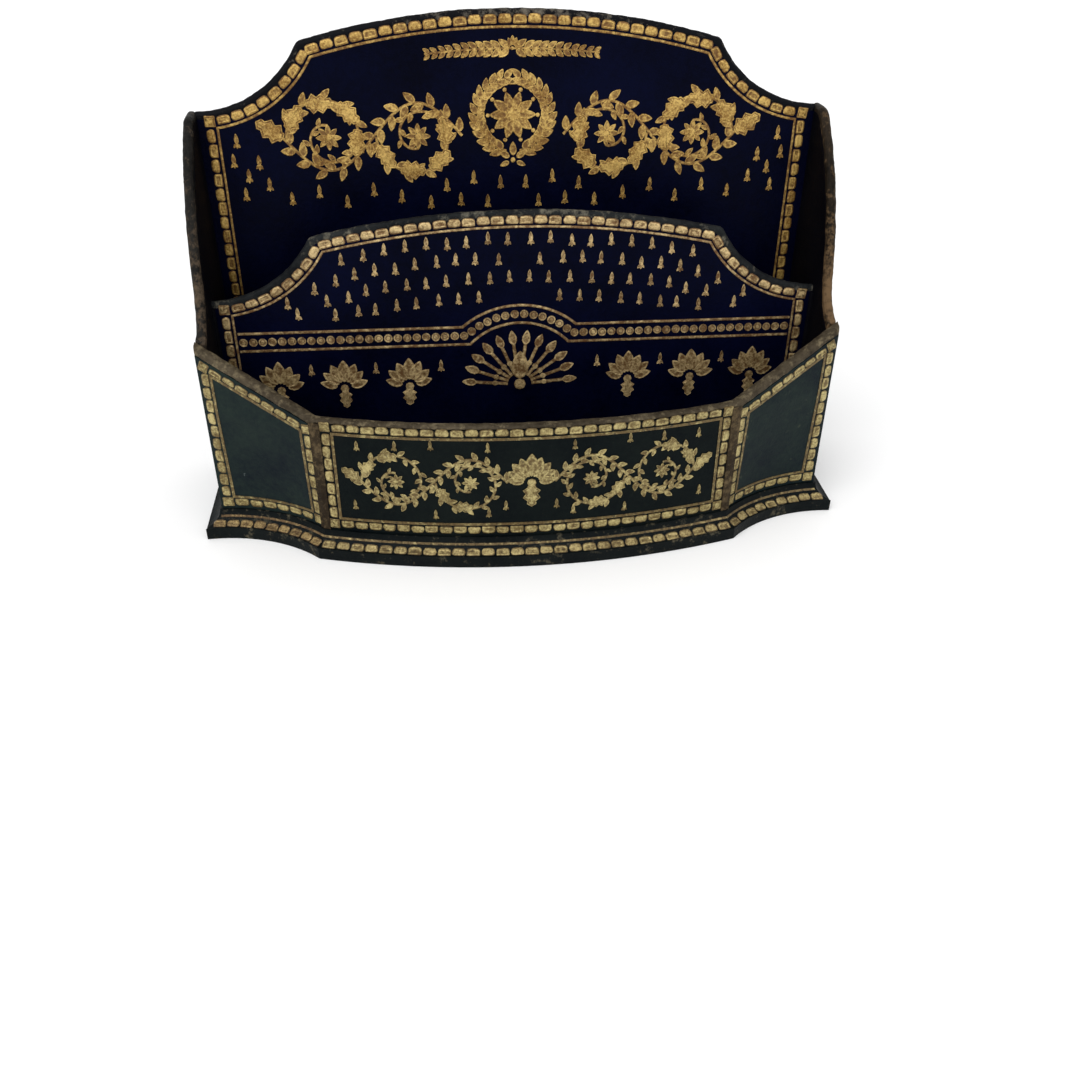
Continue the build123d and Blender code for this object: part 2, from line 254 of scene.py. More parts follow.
for side in sides:
    dress(case_leather, "side_cover_leather_" + side, "wing_leather_" + side)
    dress(lining_leather, "side_lining_" + side, "wing_lining_" + side, "divider_joint_" + side)


def piece_from(work, name, finish):
    """A bmesh as a piece of its own, in one finish."""
    mesh = bpy.data.meshes.new(name)
    work.to_mesh(mesh)
    work.free()
    mesh.materials.clear()
    mesh.materials.append(finish)
    piece = bpy.data.objects.new(name, mesh)
    bpy.context.scene.collection.objects.link(piece)
    return piece


# The cover leather is turned round the rear end of each side, over the board
turned_thick, turned_soft = 0.0005, 0.0002
turned_share = 1.12  # its width, of the board's thickness
turned_above = 0.0008  # up to the rolled edge
for side in sides:
    low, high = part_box("side_board_" + side)
    turn_in = bmesh.new()
    bmesh.ops.create_cube(turn_in, size=1)
    for vert in turn_in.verts:
        x = low.x + (high.x - low.x) * (0.5 + turned_share * vert.co.x)
        z = high.z + turned_above if vert.co.z > 0 else low.z
        vert.co = Vector((x, high.y + turned_thick * vert.co.y, z))
    bmesh.ops.bevel(turn_in, geom=turn_in.edges[:], offset=turned_soft, segments=2, profile=0.5,
                    affect="EDGES", material=-1)
    piece = piece_from(turn_in, "side_turn_in_" + side, case_leather)
    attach(piece, "root")

# The plinth's moulding is painted darker than the walls, as painted shade in its cove, and rubbed along its
# foot
shaded_plinth_tones = {"Deep": colour(2, 6, 8), "Soft": colour(14, 19, 19), "Rubbed": colour(88, 82, 66),
                "Rub": 0.36, "Dull": 0.5}
shaded_plinth_leather = finish_of("shaded_plinth_leather", leather_group, shaded_plinth_tones, 0.5, 0.0003,
                           Specular_IOR_Level=0.07)
dress(shaded_plinth_leather, "plinth_front")
for side in sides:
    dress(shaded_plinth_leather, "plinth_wing_" + side, "plinth_side_" + side)

# One mark of use: a chalky spot low on the left wing
marked = finish_of("case_leather_marked", leather_group,
                   green_tones | {"Rubbed": colour(120, 132, 130), "Rub": 0.1,
                                  "Spot": (0.136, 0.019, 0.033), "Reach": 0.0045, "Bare": 0.36},
                   0.5, 0.0003, Specular_IOR_Level=0.07)
dress(marked, "wing_leather_left")

# Rolled edges, rails and strips
# The leather is turned over every free edge of the boards and rubbed down to a mottled
# grey-brown. Each roll is soft, dented skin; strips as thin as a card cover the two bends.


def edge_leather(name, deep, soft, rubbed, rub, **spot):
    """Leather of a worn edge, from its darkest tone to where it is rubbed through."""
    tones = {"Deep": colour(*deep), "Soft": colour(*soft), "Rubbed": colour(*rubbed), "Rub": rub,
             "Dull": 0.52}
    return finish_of(name, leather_group, tones | spot, 0.7, 0.0004, Specular_IOR_Level=0.06)


right_edge = edge_leather("side_edge_leather_right", (12, 10, 7), (48, 39, 29), (98, 78, 55), 0.42,
                          Spot=(0.1475, 0.004, 0.112), Reach=0.070, Bare=0.17)
left_edge = edge_leather("side_edge_leather_left", (11, 11, 11), (38, 36, 33), (80, 68, 55), 0.42,
                         Spot=(0.1475, 0.002, 0.110), Reach=0.060, Bare=0.10)
rail_leather = edge_leather("rail_leather", (34, 28, 21), (82, 73, 58), (112, 101, 79), 0.46)
strip_leather = edge_leather("strip_leather", (30, 23, 15), (58, 48, 34), (92, 78, 56), 0.5)
back_edge = edge_leather("back_edge_leather", (3, 4, 8), (11, 12, 16), (98, 92, 82), 0.3,
                         Spot=(0.0, 0.055, 0.228), Reach=0.085, Bare=0.19)
divider_edge = edge_leather("divider_edge_leather", (12, 14, 17), (38, 40, 40), (100, 96, 84), 0.4,
                            Spot=(0.0, 0.018, 0.148), Reach=0.07, Bare=0.08)
dress(strip_leather, "corner_strip_right", "corner_strip_left")

skin_grid = 0.0006
dent_wide, dent_deep = 0.006, 0.0008
dent_level = 0.80  # of the cloud, below which the skin goes inwards
touching = 0.00001


def rolled(name, finish, sources, laps=()):
    """Turned-over leather in place of the CAD rolls: rounded, dented inwards by wear, and lapped a little
    way under its neighbours by each of the laps."""
    roll = bmesh.new()
    for source in sources:
        roll.from_mesh(nodes[source].data)
    bmesh.ops.remove_doubles(roll, verts=roll.verts[:], dist=touching)
    whole = roll.verts[:] + roll.edges[:] + roll.faces[:]
    for lap in laps:
        copied = bmesh.ops.duplicate(roll, geom=whole)["geom"]
        lapped = [item for item in copied if isinstance(item, bmesh.types.BMVert)]
        bmesh.ops.transform(roll, matrix=lap, verts=lapped)
    piece = piece_from(roll, name, finish)
    remesh = piece.modifiers.new("even_skin", "REMESH")
    remesh.mode, remesh.voxel_size, remesh.use_smooth_shade = "VOXEL", skin_grid, True
    rounding = piece.modifiers.new("rounding", "SMOOTH")
    rounding.factor, rounding.iterations = 0.5, 4
    clouds = bpy.data.textures.new(name, "CLOUDS")
    clouds.noise_scale, clouds.noise_depth = dent_wide, 3
    dents = piece.modifiers.new("dents", "DISPLACE")
    dents.texture, dents.texture_coords = clouds, "LOCAL"
    dents.strength, dents.mid_level = dent_deep, dent_level
    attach(piece, "root")
    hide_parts(*sources)


# Laps: a crest roll goes down behind the panel and out into the sides, a side roll back and down
under = Matrix.Translation((0, 0, -0.0012))
into_sides = Matrix.Diagonal((1.009, 1, 1, 1))
rolled("edge_back", back_edge, ["back_crest_roll"], (under, into_sides))
rolled("edge_divider", divider_edge, ["divider_crest_roll"], (under, into_sides))
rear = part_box("side_board_right")[1].y
drawn_back = (Matrix.Translation((0, rear, -0.0010)) @ Matrix.Diagonal((1, 0.986, 1, 1))
              @ Matrix.Translation((0, -rear, 0)))
for side, finish in zip(sides, (right_edge, left_edge)):
    rolled("edge_side_" + side, finish, ["side_edge_roll_" + side], (drawn_back,))
rolled("edge_rail", rail_leather, ["front_rail", "wing_rail_right", "wing_rail_left"])

# Gilt borders
# A row of small prints struck through gold leaf with heated finishing tools, arched and
# lobed by turns, and inside it one plain line from a fillet. Each stands a hair proud.

gilt_group, given, made = new_group(
    "gold_leaf",
    {"Bright": colour(205, 171, 96), "Deep": colour(128, 93, 36), "Stain": colour(90, 56, 22),
     "Ground_and_shade": colour(26, 21, 14), "Wear": 0.3},
    ("Color", "Metallic", "Roughness", "Height"))
where = put(gilt_group, "ShaderNodeTexCoord").outputs["Object"]
speck = noise(gilt_group, where, 900.0, 5.0, 0.75)
drift = noise(gilt_group, where, 110.0, 5.0, 0.6)
tone = weighed(gilt_group, speck, 0.6, drift)
leaf_colour = blended(gilt_group, spread(gilt_group, tone, 0.42, 0.57), given["Deep"], given["Bright"])
# Brown stains lie in spots; the hollows and low edges of a print are painted browner and darker as painted
# shade, its tops a little lighter; bare leather shows through where the leaf has flaked
lift = put(gilt_group, "ShaderNodeAttribute", attribute_name="lift").outputs["Fac"]
hollow_shade = spread(gilt_group, lift, 0.16, 0.40, 0.32, -0.06)
stains_and_hollow_shade = sums(gilt_group, "ADD", noise(gilt_group, where, 420.0), hollow_shade)
stain_and_shade_share = spread(gilt_group, stains_and_hollow_shade, 0.52, 0.74, 0.0, 0.85)
leaf_colour = blended(gilt_group, stain_and_shade_share, leaf_colour, given["Stain"])
flaked_and_low_shade = noise(gilt_group, where, 620.0, 8.0, 0.75)
# Low parts of a print take more of the dark ground: painted shade at its foot, on top of the flaking
low = spread(gilt_group, lift, 0.08, 0.30, 0.12, 0.0)
edge = sums(gilt_group, "SUBTRACT", 0.72, sums(gilt_group, "MULTIPLY", given["Wear"], 0.3))
flaked_and_low_shade = sums(gilt_group, "ADD", flaked_and_low_shade, low)
bare_and_low_shade = spread(gilt_group, sums(gilt_group, "SUBTRACT", flaked_and_low_shade, edge), -0.01, 0.12)
gilt_group.links.new(blended(gilt_group, bare_and_low_shade, leaf_colour, given["Ground_and_shade"]), made["Color"])
gilt_group.links.new(spread(gilt_group, bare_and_low_shade, 0, 1, 0.5, 0.0), made["Metallic"])
gilt_group.links.new(spread(gilt_group, tone, 0.3, 0.7, 0.55, 0.4), made["Roughness"])
gilt_group.links.new(sums(gilt_group, "SUBTRACT", speck, bare_and_low_shade), made["Height"])
gilt_finish = finish_of("gilt", gilt_group, {}, 0.7, 0.0003)
brown_gilt = finish_of("gilt_browned", gilt_group,
                       {"Bright": colour(210, 184, 132), "Deep": colour(122, 98, 62), "Wear": 0.42},
                       0.7, 0.0003)
# Gold of the front and wings: rubbed by hands, and painted darker and greyer than the rest as painted shade
shaded_handled_gilt = finish_of("gilt_handled_shaded", gilt_group,
                         {"Bright": colour(183, 168, 114), "Deep": colour(112, 96, 56),
                          "Stain": colour(82, 62, 30), "Wear": 0.42}, 0.7, 0.0003)


bedded = 0.0002  # how far a print goes into the leather


def raised(sheet, faces, height, sink=bedded):
    """Make flat faces a closed print that stands up to height and is set in the leather."""
    grown = bmesh.ops.extrude_face_region(sheet, geom=faces, use_keep_orig=True)["geom"]
    below = {vert for face in faces for vert in face.verts}
    top = [item for item in grown if isinstance(item, bmesh.types.BMVert)]
    bmesh.ops.translate(sheet, vec=(0, 0, height), verts=top)
    bmesh.ops.translate(sheet, vec=(0, 0, -sink), verts=list(below))
    return [item for item in grown if isinstance(item, bmesh.types.BMFace)]


def finishing_tool(shape, count, rim, *steps):
    """A tool's print as a small mesh: shape bends a unit circle of count points to its outline, its
    rim stands up so far, and each step is a ring further in, so wide and rising so much."""
    tool = bmesh.new()
    bmesh.ops.create_circle(tool, cap_ends=True, segments=count, radius=1)
    for vert in tool.verts:
        vert.co.x, vert.co.y = shape(math.atan2(vert.co.y, vert.co.x))
    top = raised(tool, tool.faces[:], rim)
    for wide, rise in steps:
        bmesh.ops.inset_individual(tool, faces=top, thickness=wide, depth=rise)
    bmesh.ops.recalc_face_normals(tool, faces=tool.faces[:])
    mesh = bpy.data.meshes.new("tool")
    tool.to_mesh(mesh)
    tool.free()
    return mesh


def power(value, exponent):
    """A signed power, which squares a circle's corners out."""
    return math.copysign(abs(value) ** exponent, value)


bead_pitch = 0.0068
bead_wide, bead_high, corner_wide = 0.00325, 0.0020, 0.0025  # half sizes
bead_rim = 0.00018


def arched(turn):
    """Round above, square below."""
    squared = 0.62 if turn > 0 else 0.25
    return bead_wide * power(math.cos(turn), squared), bead_high * power(math.sin(turn), squared)


def lobed(turn):
    """Three lobes above, drawn in below."""
    swell = 1 + 0.10 * math.cos(3 * (turn - math.pi / 2)) if turn > 0 else 1 - 0.10 * abs(math.sin(turn))
    return bead_wide * swell * power(math.cos(turn), 0.45), bead_high * swell * power(math.sin(turn), 0.5)


def cornered(turn):
    """A square with a waist on each side."""
    wide = corner_wide * (1.06 - 0.08 * math.cos(4 * turn))
    return wide * power(math.cos(turn), 0.45), wide * power(math.sin(turn), 0.45)


edge_step, dome_step = (0.0003, 0.00008), (0.0005, 0.00018)
arch_tool = finishing_tool(arched, 16, bead_rim, edge_step, dome_step, (0.0004, -0.00016))
lobe_tool = finishing_tool(lobed, 16, bead_rim, edge_step, dome_step, (0.0005, 0.00004))
corner_tool = finishing_tool(cornered, 16, bead_rim, (0.0004, 0.00016), (0.0004, -0.00010),
                             (0.0005, 0.0002))
hand = random.Random(7)  # no two strikes land quite alike
astray = 0.00012


def strike(sheet, tool, spot, turn, size=1.0, stretch=1.0, squash=1.0):
    """Strike a tool into the sheet at a spot, turned, a little off true."""
    first = len(sheet.verts)
    sheet.from_mesh(tool)
    sheet.verts.ensure_lookup_table()
    off = Vector((hand.uniform(-1, 1), hand.uniform(-1, 1), 0)) * astray
    scale = (size * stretch * hand.uniform(0.95, 1.0), size * squash * hand.uniform(0.94, 1.04),
             hand.uniform(0.9, 1.1), 1)
    place = (Matrix.Translation(Vector((spot[0], spot[1], 0)) + off)
             @ Matrix.Rotation(turn + hand.uniform(-0.03, 0.03), 4, "Z") @ Matrix.Diagonal(scale))
    bmesh.ops.transform(sheet, matrix=place, verts=sheet.verts[first:])


def inset(path, distance, closed=False):
    """The path moved to its right by distance, with its corners mitred."""
    moved = []
    for number, point in enumerate(path):
        before = path[number - 1] if closed or number else None
        after = path[(number + 1) % len(path)] if closed or number + 1 < len(path) else None
        ways = [way.normalized() for way in (point - before if before is not None else after - point,
                                             after - point if after is not None else point - before)]
        rights = [Vector((way.y, -way.x)) for way in ways]
        moved.append(point + (rights[0] + rights[1]) * distance / (1 + rights[0].dot(rights[1])))
    return moved


def dense(path, closed=False, step=0.002):
    """The same path with its points no more than a step apart."""
    spots = []
    track = path + path[:1] if closed else path
    for one, two in zip(track, track[1:]):
        count = max(1, round((two - one).length / step))
        spots += [one.lerp(two, k / count) for k in range(count)]
    return spots if closed else spots + path[-1:]


fillet_wide, fillet_high = 0.0011, 0.0003


def ribbon(sheet, path, width=fillet_wide, height=fillet_high, closed=False, hollow=0.0):
    """A line run along a path with a fillet: a low ridge, or two edges with a hollow between."""
    track = path + path[:1] if closed else path
    left, right = inset(path, -width / 2, closed), inset(path, width / 2, closed)
    strip = bmesh.new()
    bmesh.ops.create_grid(strip, x_segments=len(track) - 1, y_segments=2, size=1)
    for vert in strip.verts:
        number = round((vert.co.x + 1) / 2 * (len(track) - 1)) % len(path)
        spot = (left, path, right)[1 - round(vert.co.y)][number]
        sunk = 0 if abs(vert.co.y) > 0.5 else hollow
        vert.co = (spot.x, spot.y, height * (1 - 0.25 * abs(vert.co.y)) - sunk)
    raised(strip, strip.faces[:], 0, height + bedded)
    bmesh.ops.recalc_face_normals(strip, faces=strip.faces[:])
    mesh = bpy.data.meshes.new("strip")
    strip.to_mesh(mesh)
    strip.free()
    sheet.from_mesh(mesh)
    bpy.data.meshes.remove(mesh)


def sharp(path, number):
    """How far the path turns at one of its points."""
    return (path[number] - path[number - 1]).angle(path[(number + 1) % len(path)] - path[number])


def along_path(path, first, pitch):
    """Spots a pitch apart along a path, the first so far along it, each with its direction."""
    wanted = first
    walked = 0.0
    for one, two in zip(path, path[1:]):
        length = (two - one).length
        while walked + length >= wanted:
            way = (two - one).normalized()
            yield one + way * (wanted - walked), math.atan2(way.y, way.x)
            wanted += pitch
        walked += length


bend_turn, corner_turn = 0.4, 1.0  # where a row starts anew, where it has a corner print, in radians
corner_room = 0.0031
slant_stretch = 1.04


def bead_border(sheet, path, inner, closed=False, width=fillet_wide, hollow=0.0, slanted=1.0,
                line_high=fillet_high):
    """The bead row with its middle on the path, its field to the right, and the line inside it.
    Beads on a slanted run may be lower than the rest, and a line rubbed flat sits lower, where the gold is
    painted browner as painted shade."""
    track = path + path[:1] if closed else path
    turns = [number for number in range(1, len(track) - 1) if sharp(track, number) > bend_turn]
    stops = [0] + turns + [len(track) - 1]
    for start, stop in zip(stops, stops[1:]):
        run = track[start:stop + 1]
        cut = [corner_room if (closed or number in turns) and sharp(path, number % len(path)) > corner_turn
               else 0.0 for number in (start, stop)]
        clear = sum((b - a).length for a, b in zip(run, run[1:])) - sum(cut)
        count = max(1, round(clear / bead_pitch))
        pitch = clear / count
        way = run[-1] - run[0]
        squash = slanted if min(abs(way.x), abs(way.y)) > 0.002 else 1.0
        for number, (spot, turn) in enumerate(along_path(run, cut[0] + pitch / 2, pitch)):
            if number < count:
                stretch = pitch / bead_pitch * (1.0 if squash == 1.0 else slant_stretch)
                strike(sheet, (arch_tool, lobe_tool)[number % 2], spot, turn, 1.0, stretch, squash)
    for number in range(len(path)):
        if (closed or 0 < number < len(path) - 1) and sharp(path, number) > corner_turn:
            way = path[number] - path[number - 1]
            strike(sheet, corner_tool, path[number], math.atan2(way.y, way.x))
    ribbon(sheet, dense(inner, closed), width, line_high, closed, hollow)


def gilt_piece(name, sheet, aim, leathers, finish=gilt_finish):
    """Press a flat sheet of gilt on the leather: aim turns a flat point to a start and a way in."""
    faces = []
    for leather in leathers:
        mesh = nodes[leather].data
        corners = [vert.co for vert in mesh.vertices]
        faces.append(BVHTree.FromPolygons(corners, [face.vertices for face in mesh.polygons]))
    # The gold is painted browner and darker where it lies low, as painted shade
    lift = sheet.verts.layers.float.new("lift")  # millimetres above the leather, for the colour of the gold
    for vert in sheet.verts:
        vert[lift] = vert.co.z * 1000
        hits = []
        for nudge in (0, 0.0002, -0.0002):  # a ray can slip through a seam between two leathers
            start, way = aim(vert.co.x + nudge, vert.co.y + nudge)
            rays = [face.ray_cast(start, way) for face in faces]
            hits = hits or [hit for hit in rays if hit[0] is not None]
        vert.co = min(hits, key=lambda hit: hit[3])[0] - way * vert.co.z
    piece = piece_from(sheet, name, finish)
    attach(piece, "root")


def arc(centre, radius, first, last, step=0.0015):
    """Points along an arc, its ends as angles in radians."""
    count = max(2, round(abs(last - first) * radius / step))
    angles = [first + (last - first) * k / count for k in range(count + 1)]
    return [Vector((centre[0] + radius * math.cos(angle), centre[1] + radius * math.sin(angle)))
            for angle in angles]


# Outline that back and divider share: an arch between the shoulders, a hollow scoop down to each end
shoulder, board_end, scoop_rise = 0.096, 0.145, 0.0295
scoop_reach = board_end - shoulder
scoop_radius = (scoop_reach ** 2 + scoop_rise ** 2) / (2 * scoop_rise)


def crest_path(apex, drop, inside, side, foot):
    """A line so far inside a crested board's outline, from the left foot round to the right foot."""
    arch_radius = (shoulder ** 2 + drop ** 2) / (2 * drop)
    arch_centre = Vector((0, apex - arch_radius))
    scoop_centre = Vector((board_end, apex - drop - scoop_rise + scoop_radius))
    near, wide = arch_radius - inside, scoop_radius + inside
    between = scoop_centre - arch_centre
    apart = between.length
    along_way = (near ** 2 - wide ** 2 + apart ** 2) / (2 * apart)
    off = math.sqrt(near ** 2 - along_way ** 2)
    way = between / apart
    crossings = [arch_centre + way * along_way + Vector((way.y, -way.x)) * sign * off for sign in (1, -1)]
    meet = min(crossings, key=lambda spot: (spot - Vector((shoulder, apex - drop))).length)
    lean = math.atan2(meet.y - arch_centre.y, meet.x - arch_centre.x)
    first = math.atan2(meet.y - scoop_centre.y, meet.x - scoop_centre.x)
    last = -math.acos((side - scoop_centre.x) / wide)
    right = arc(arch_centre, near, math.pi / 2, lean)
    first = first if first < 0 else first - 2 * math.pi
    right += arc(scoop_centre, wide, first, last)[1:]
    right += dense([right[-1], Vector((side, foot))])[1:]
    left = [Vector((-spot.x, spot.y)) for spot in reversed(right)]
    return left[:-1] + right


back_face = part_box("back_panel_leather")[0].y
divider_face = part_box("divider_panel_leather")[0].y
floor_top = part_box("floor_leather_rear")[1].z
stand_off = 0.02


def at_wall(face):
    """Aim straight back at an upright board."""
    return lambda x, y: (Vector((x, face - stand_off, y)), Vector((0, 1, 0)))


line_in = 0.0032  # from the middle of the beads to the line
back_crest, divider_crest = (0.227, 0.013), (0.148, 0.0106)  # top of the arch, its fall to the shoulder
back_beads, divider_beads = 0.0043, 0.0044  # from the outline to the middle of the beads
side_beads, foot_beads = 0.1394, floor_top + 0.002
borders = (("back", back_crest, back_beads, back_face, gilt_finish),
           ("divider", divider_crest, divider_beads, divider_face, brown_gilt))
for name, crest, inside, face, finish in borders:
    beads, line = [crest_path(*crest, inside + more, side_beads - more, foot_beads)
                   for more in (0, line_in)]
    sheet = bmesh.new()
    bead_border(sheet, beads, line)
    leathers = [name + "_panel_leather", name + "_crest_roll"]
    gilt_piece("gilt_border_" + name, sheet, at_wall(face), leathers, finish)

# The case face in plan, as its boards stand: bowed between the bends, straight from there to the corners
bend, outer_corner = Vector((0.09795, -0.036)), Vector((0.150, -0.01351))
bow_centre, bow_radius = Vector((0, 0.29965)), 0.34965
wing_way = (outer_corner - bend).normalized()
wing_out = Vector((wing_way.y, -wing_way.x))
wing_length = (outer_corner - bend).length


def at_bow(x, y):
    """Aim at the bowed front, x measured round it."""
    way = Vector((math.sin(x / bow_radius), -math.cos(x / bow_radius), 0))
    start = Vector((bow_centre.x, bow_centre.y, y)) + way * (bow_radius + stand_off)
    return start, -way


def at_wing(side):
    """Aim at a wing, x measured from the bend."""
    def aim(x, y):
        spot = bend + wing_way * x + wing_out * stand_off
        return Vector((side * spot.x, spot.y, y)), Vector((-side * wing_out.x, -wing_out.y, 0))
    return aim


case_line, case_hollow = 0.0013, 0.0001  # the line of front and wings: its width, the hollow along it
front_side, front_low, front_high = 0.0943, 0.0166, 0.0686
front_path = [Vector(spot) for spot in ((-front_side, front_low), (-front_side, front_high),
                                        (front_side, front_high), (front_side, front_low))]
sheet = bmesh.new()
bead_border(sheet, dense(front_path, True), inset(front_path, line_in, True), True, case_line, case_hollow)
gilt_piece("gilt_border_front", sheet, at_bow, ["front_leather", "front_rail"], shaded_handled_gilt)

wing_near, wing_far = 0.0041, 0.0532  # from the bend
wing_low, near_high, far_high = 0.0166, 0.0662, 0.0896
slant_squash, line_raise = 0.78, 0.0011  # the slanted beads are lower, and the line is closer under them
wing_path = [Vector(spot) for spot in ((wing_near, wing_low), (wing_near, near_high),
                                       (wing_far, far_high), (wing_far, wing_low))]
wing_line = inset(wing_path, line_in, True)
for spot in wing_line[1:3]:
    spot.y += line_raise
for side, sign in (("right", 1), ("left", -1)):
    sheet = bmesh.new()
    bead_border(sheet, dense(wing_path, True), wing_line, True, case_line, case_hollow, slant_squash)
    if sign < 0:
        bmesh.ops.reverse_faces(sheet, faces=sheet.faces[:])
    leathers = ["wing_leather_" + side, "wing_rail_" + side]
    gilt_piece("gilt_border_wing_" + side, sheet, at_wing(sign), leathers, shaded_handled_gilt)

# Gilt on the plinth
# The same beads and line run along the cove of the moulding, round the bow and the hollow
# of each wing, and meet at the mitres. Hands and dust have dulled them, the left wing most;
# the line is rubbed lower and so takes more of the painted shade of low gold.

cove_foot, cove_top = Vector((0.0075, 0.006)), Vector((0.001, 0.013))  # out, up
cove_way = (cove_top - cove_foot).normalized()
cove_out = Vector((cove_way.y, -cove_way.x))
cove_beads, cove_line = 0.0025, 0.0064  # up the slope of the cove
hollow_radius = 0.07565
hollow_centre = (bend + outer_corner) / 2 + wing_out * math.sqrt(hollow_radius ** 2 - wing_length ** 2 / 4)
plinth_gilt = finish_of("gilt_dusty", gilt_group,
                        {"Bright": colour(182, 164, 112), "Deep": colour(108, 91, 56),
                         "Stain": colour(76, 58, 32), "Wear": 0.45}, 0.7, 0.0003)
browned_plinth_gilt = finish_of("gilt_dusty_browned", gilt_group,
                                {"Bright": colour(166, 142, 94), "Deep": colour(100, 80, 48),
                                 "Stain": colour(74, 52, 28), "Wear": 0.5}, 0.7, 0.0003)
rubbed_line = 0.00024


def cove_ray(y, outward, base):
    """Start and way of a ray onto the cove, y up its slope, from a plan point at the wall."""
    spot = cove_foot + cove_way * y + cove_out * stand_off
    start = base + outward * spot.x
    way = outward * -cove_out.x
    return Vector((start.x, start.y, spot.y)), Vector((way.x, way.y, -cove_out.y))


def at_front_cove(x, y):
    """Aim at the plinth's bowed front, x measured round it."""
    outward = Vector((math.sin(x / bow_radius), -math.cos(x / bow_radius)))
    return cove_ray(y, outward, bow_centre + outward * bow_radius)


def at_wing_cove(side):
    """Aim at the hollow plinth of a wing, x measured round it from the bend."""
    first = math.atan2(bend.y - hollow_centre.y, bend.x - hollow_centre.x)

    def aim(x, y):
        turn = first - x / hollow_radius
        inward = Vector((math.cos(turn), math.sin(turn)))
        start, way = cove_ray(y, -inward, hollow_centre + inward * hollow_radius)
        return Vector((side * start.x, start.y, start.z)), Vector((side * way.x, way.y, way.z))
    return aim


def cove_run(start, end, y):
    """A straight run along the cove, at one height of its slope."""
    return [Vector((start, y)), Vector((end, y))]


# Ends of the rows of beads and of the lines, the wing's measured round its hollow from the bend
front_end, wing_beads_ends, wing_line_ends = 0.1000, (-0.0010, 0.0630), (-0.0006, 0.0605)
plinth_pieces = ["plinth_front", "plinth_wing_right", "plinth_wing_left", "plinth_side_right",
                 "plinth_side_left"]
sheet = bmesh.new()
bead_border(sheet, dense(cove_run(-front_end, front_end, cove_beads)),
            cove_run(-front_end, front_end, cove_line), line_high=rubbed_line)
gilt_piece("gilt_plinth_front", sheet, at_front_cove, plinth_pieces, plinth_gilt)
for side, sign, finish in (("right", 1, plinth_gilt), ("left", -1, browned_plinth_gilt)):
    sheet = bmesh.new()
    bead_border(sheet, dense(cove_run(*wing_beads_ends, cove_beads)), cove_run(*wing_line_ends, cove_line),
                line_high=rubbed_line)
    if sign < 0:
        bmesh.ops.reverse_faces(sheet, faces=sheet.faces[:])
    gilt_piece("gilt_plinth_wing_" + side, sheet, at_wing_cove(sign), plinth_pieces, finish)

# Ornament of the back
# Struck and run freehand in gold: a laurel wreath round a rosette, a leafy scroll to
# either side, a garland under the arch, and small sprigs sown over what is left.


def leafy(turn):
    """A pointed leaf, its stalk at the origin."""
    return 0.0030 * (1 + math.cos(turn)), 0.0016 * power(math.sin(turn), 1.4) * (1 - 0.3 * math.cos(turn))


def ragged(turn):
    """A long leaf with a lobed edge, its stalk at the origin."""
    wide = 0.0036 * power(math.sin(turn), 1.1) * (1 - 0.25 * math.cos(turn))
    return 0.0062 * (1 + math.cos(turn)), wide * (1 + 0.24 * math.cos(9 * turn))


def rounded(radius):
    """A plain round."""
    return lambda turn: (radius * math.cos(turn), radius * math.sin(turn))


leaf_rim, leaf_step = 0.0003, (0.0003, 0.0001)
leaf_tool = finishing_tool(leafy, 12, leaf_rim, leaf_step, (0.0003, -0.00013))
ragged_tool = finishing_tool(ragged, 36, leaf_rim, leaf_step, (0.0004, -0.0002), (0.0004, 0.0002))
dot_tool = finishing_tool(rounded(0.0010), 8, leaf_rim, leaf_step)
ring_tool = finishing_tool(rounded(0.0021), 12, leaf_rim, (0.0006, 0), (0.0003, -0.0002), (0.0003, 0.0002))


leaf_pitch = 0.0036


def foliage(sheet, path, pitch, size, lean=0.75, pairs=False, last=1.0):
    """Leaves along a stem, by turns or in pairs, smaller towards its end."""
    spots = list(along_path(path, pitch / 2, pitch))
    for number, (spot, turn) in enumerate(spots):
        shrunk = size * (1 + (last - 1) * number / len(spots))
        for way in ((1, -1) if pairs else ((1, -1)[number % 2],)):
            off = Vector((-math.sin(turn), math.cos(turn))) * way * 0.0004
            strike(sheet, leaf_tool, spot + off, turn + way * lean, shrunk)


def rosette(sheet, spot, size, petals=8):
    """Petals round a boss."""
    for number in range(petals):
        turn = 2 * math.pi * number / petals
        way = Vector((math.cos(turn), math.sin(turn)))
        strike(sheet, leaf_tool, spot + way * 0.0012 * size, turn, 0.72 * size)
    strike(sheet, dot_tool, spot, 0, 1.5 * size)


def sprig(sheet, spot, size=1.0):
    """A bud on a short stalk over three small leaves."""
    strike(sheet, leaf_tool, spot, math.pi / 2, 0.85 * size, 1.0, 0.75)
    for lean in (-0.7, 0, 0.7):
        strike(sheet, leaf_tool, spot + Vector((0, 0.0006)) * size, lean - math.pi / 2, 0.42 * size)


def palmette(sheet, spot, size, leaves=7, spread_angle=2.5):
    """Leaves fanned out over a boss, the middle one longest."""
    for number in range(leaves):
        turn = math.pi / 2 + spread_angle * (number / (leaves - 1) - 0.5)
        length = size * (1 - 0.28 * abs(number / (leaves - 1) - 0.5) * 2)
        way = Vector((math.cos(turn), math.sin(turn)))
        strike(sheet, leaf_tool, spot + way * 0.0018 * size, turn, length)
    strike(sheet, dot_tool, spot, 0, 1.1 * size)


def curl(centre, outer, inner, first, turn, step=0.0014):
    """A spiral about a centre, from its outer end inwards."""
    count = round(abs(turn) * (outer + inner) / 2 / step)
    spots = []
    for k in range(count + 1):
        radius = outer + (inner - outer) * k / count
        angle = first + turn * k / count
        spots.append(Vector((centre[0] + radius * math.cos(angle), centre[1] + radius * math.sin(angle))))
    return spots


